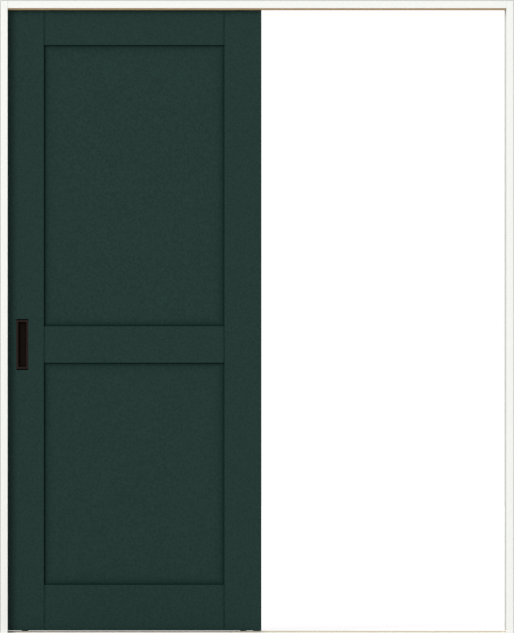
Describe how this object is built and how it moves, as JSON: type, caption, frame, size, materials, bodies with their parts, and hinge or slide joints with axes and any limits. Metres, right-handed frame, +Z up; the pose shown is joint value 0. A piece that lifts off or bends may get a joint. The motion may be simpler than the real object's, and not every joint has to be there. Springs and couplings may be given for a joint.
{
  "type": "interior sliding door",
  "caption": "Single interior sliding door with its frame: a framed, panelled leaf with flush pulls rolls on a grooved floor rail in front of an open wall bay.",
  "frame": {"origin": "on the floor, at the middle of the frame's width and depth", "axes": "+X to the right seen from the front, the way the leaf opens; -Y towards the front; +Z up"},
  "size_m": [1.644, 0.156, 2.023],
  "materials": {
    "white_wrapped_board": "white foil wrapped over fibreboard, matt",
    "green_wrapped_board": "dark green grained foil over fibreboard, matt",
    "beech": "fluted beech, plain",
    "dark_bronze": "dark bronze, satin",
    "screw_steel": "zinc plated",
    "tan_resin": "tan resin, matt",
    "buffer_rubber": "black rubber",
    "champagne_aluminium": "champagne anodised",
    "seal_rubber": "grey soft strip",
    "grey_strip": "light grey soft strip",
    "shoe_plastic": "natural white plastic",
    "pressed_steel": "zinc plated sheet",
    "roller_plastic": "black plastic",
    "wheel_plastic": "hard white plastic"
  },
  "bodies": {
    "frame": {"latch_jamb": "white_wrapped_board", "rear_jamb": "white_wrapped_board", "head": "white_wrapped_board", "mullion": "white_wrapped_board", "frame_joint_screws": "screw_steel", "top_guide_rail": "tan_resin", "guide_rail_screws": "screw_steel", "open_stop": "tan_resin", "open_stop_pad": "buffer_rubber", "open_stop_screw": "screw_steel", "floor_rail": "champagne_aluminium", "latch_seal": "seal_rubber", "rear_buffer": "grey_strip"},
    "leaf": {"latch_stile": "green_wrapped_board", "rear_stile": "green_wrapped_board", "top_rail": "green_wrapped_board", "mid_rail": "green_wrapped_board", "bottom_rail": "green_wrapped_board", "upper_panel": "green_wrapped_board", "lower_panel": "green_wrapped_board", "leaf_dowels": "beech", "front_pull": "dark_bronze", "back_pull": "dark_bronze", "latch_top_shoe": "shoe_plastic", "rear_top_shoe": "shoe_plastic", "top_shoe_screws": "screw_steel", "roller_plate_screws": "screw_steel", "latch_roller_case": "pressed_steel", "rear_roller_case": "pressed_steel", "latch_face_plate": "pressed_steel", "rear_face_plate": "pressed_steel"},
    "latch_lift": {"latch_carriage": "roller_plastic", "latch_axle": "screw_steel"},
    "latch_roller": {"latch_wheel": "wheel_plastic"},
    "latch_slider": {"latch_wedge": "roller_plastic"},
    "latch_screw": {"latch_adjuster": "screw_steel"},
    "rear_lift": {"rear_carriage": "roller_plastic", "rear_axle": "screw_steel"},
    "rear_roller": {"rear_wheel": "wheel_plastic"},
    "rear_slider": {"rear_wedge": "roller_plastic"},
    "rear_screw": {"rear_adjuster": "screw_steel"}
  },
  "joints": [
    {"name": "door_slide", "type": "slide", "parent": "frame", "child": "leaf", "axis": [1, 0, 0], "range_m": [0, 0.6895]},
    {"name": "latch_adjust", "type": "hinge", "parent": "leaf", "child": "latch_screw", "pos_m": [-0.784, -0.0295, 0.03394], "axis": [1, 0, 0], "range_deg": [0, 1440]},
    {"name": "latch_wedge_slide", "type": "slide", "parent": "leaf", "child": "latch_slider", "axis": [-1, 0, 0], "range_m": [0, 0.005]},
    {"name": "latch_lift_slide", "type": "slide", "parent": "leaf", "child": "latch_lift", "axis": [0, 0, 1], "range_m": [0, 0.0025]},
    {"name": "latch_wheel_spin", "type": "hinge", "parent": "latch_lift", "child": "latch_roller", "pos_m": [-0.742, -0.0295, 0.01784], "axis": [0, 1, 0], "continuous": true},
    {"name": "rear_adjust", "type": "hinge", "parent": "leaf", "child": "rear_screw", "pos_m": [-0.002, -0.0295, 0.03394], "axis": [-1, 0, 0], "range_deg": [0, 1440]},
    {"name": "rear_wedge_slide", "type": "slide", "parent": "leaf", "child": "rear_slider", "axis": [1, 0, 0], "range_m": [0, 0.005]},
    {"name": "rear_lift_slide", "type": "slide", "parent": "leaf", "child": "rear_lift", "axis": [0, 0, 1], "range_m": [0, 0.0025]},
    {"name": "rear_wheel_spin", "type": "hinge", "parent": "rear_lift", "child": "rear_roller", "pos_m": [-0.044, -0.0295, 0.01784], "axis": [0, 1, 0], "continuous": true}
  ],
  "couplings": [
    {"joint": "latch_adjust", "follows": "latch_wedge_slide", "rad_per_m": 5026.5},
    {"joint": "latch_lift_slide", "follows": "latch_wedge_slide", "ratio": 0.5},
    {"joint": "latch_wheel_spin", "follows": "door_slide", "rad_per_m": 72.262},
    {"joint": "rear_adjust", "follows": "rear_wedge_slide", "rad_per_m": 5026.5},
    {"joint": "rear_lift_slide", "follows": "rear_wedge_slide", "ratio": 0.5},
    {"joint": "rear_wheel_spin", "follows": "door_slide", "rad_per_m": 72.262}
  ]
}
